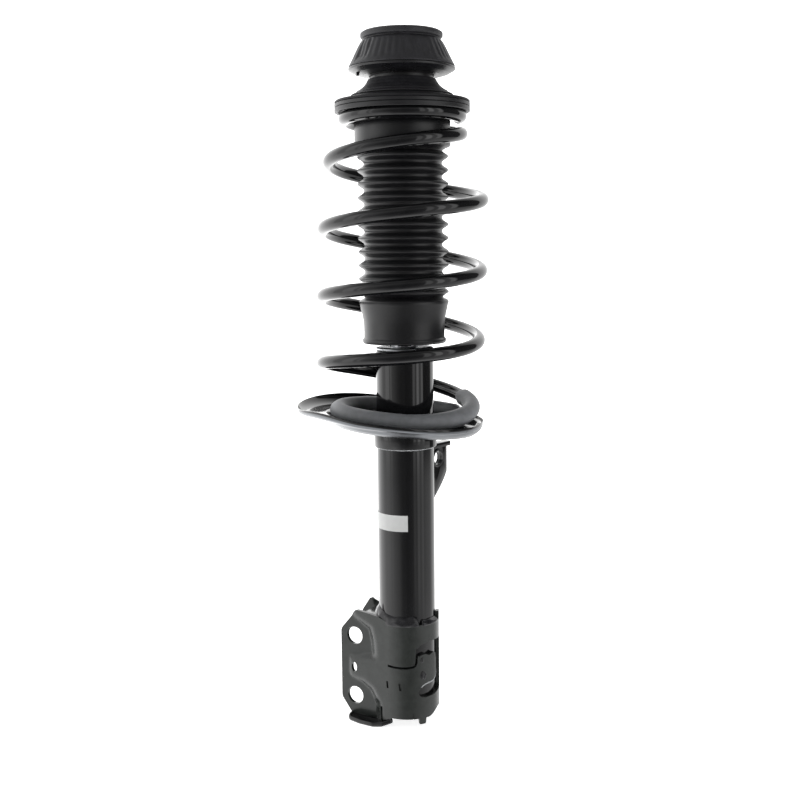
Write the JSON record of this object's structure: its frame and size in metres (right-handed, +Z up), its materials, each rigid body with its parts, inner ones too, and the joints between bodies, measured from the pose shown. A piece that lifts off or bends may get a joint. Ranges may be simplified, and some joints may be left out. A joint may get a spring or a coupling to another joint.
{
  "type": "suspension strut assembly",
  "caption": "Front suspension strut with telescopic damper, coil spring, dust boot, swivelling rubber top mount and a flanged knuckle bracket.",
  "frame": {"origin": "centre of the base cap's flat bottom face, on the damper's axis", "axes": "+Z up the damper's axis to the top mount; +X towards the low side of the spring seat; -Y is the side that faces the viewer, with the knuckle flanges to the left"},
  "size_m": [0.1593, 0.156, 0.577],
  "materials": {
    "gloss_black_paint": "gloss electrophoretic black paint on steel",
    "spring_paint": "gloss black powder coat on spring steel",
    "satin_coating": "satin dark grey-black coating on pressed steel",
    "ground_steel": "ground bare steel",
    "hard_chrome": "polished hard chrome",
    "zinc_plate": "clear zinc plate",
    "sintered_bronze": "oiled sintered bronze",
    "black_rubber": "matte moulded rubber",
    "housing_polymer": "glass-filled nylon",
    "grey_rubber": "fine matte grey rubber",
    "bump_foam": "microcellular polyurethane",
    "label_film": "white printable film"
  },
  "bodies": {
    "strut": {"reservoir_tube": "gloss_black_paint", "base_cap": "gloss_black_paint", "base_valve": "sintered_bronze", "base_valve_disc": "ground_steel", "inner_cylinder": "ground_steel", "rod_guide": "sintered_bronze", "guide_bush": "sintered_bronze", "rod_seal": "black_rubber", "bump_cap": "zinc_plate", "lower_spring_seat": "gloss_black_paint", "seat_collar": "gloss_black_paint", "lower_coil_sleeve": "grey_rubber", "stabilizer_link_bracket": "gloss_black_paint", "knuckle_bracket": "satin_coating", "bracket_insert": "satin_coating", "blank_label": "label_film", "coil_spring": "spring_paint"},
    "upper_seat": {"upper_spring_seat": "gloss_black_paint", "upper_coil_insulator": "black_rubber", "bearing_lower_race": "ground_steel", "boot_washer": "zinc_plate", "dust_boot": "black_rubber", "bump_stop": "bump_foam"},
    "bearing_cage": {"bearing_cage": "housing_polymer"},
    "top_mount": {"piston_rod": "hard_chrome", "piston": "ground_steel", "piston_band": "housing_polymer", "piston_shims": "ground_steel", "piston_nut": "ground_steel", "rebound_stop": "ground_steel", "rebound_cushion": "black_rubber", "bearing_upper_race": "housing_polymer", "mount_plate": "zinc_plate", "mount_core": "ground_steel", "mount_rubber": "black_rubber", "top_washer": "zinc_plate", "rod_nut": "zinc_plate"}
  },
  "joints": [
    {"name": "strut_stroke", "type": "slide", "parent": "strut", "child": "upper_seat", "axis": [0, 0, -1], "range_m": [0, 0.16], "stiffness_N_per_m": 22000, "springref_m": -0.06, "deforming": ["coil_spring", "dust_boot", "bump_stop"]},
    {"name": "mount_swivel", "type": "hinge", "parent": "upper_seat", "child": "top_mount", "pos_m": [0, 0, 0.53], "axis": [0, 0, 1], "continuous": true},
    {"name": "cage_spin", "type": "hinge", "parent": "upper_seat", "child": "bearing_cage", "pos_m": [0, 0, 0.53], "axis": [0, 0, 1], "continuous": true}
  ],
  "couplings": [
    {"joint": "cage_spin", "follows": "mount_swivel", "ratio": 0.5}
  ]
}
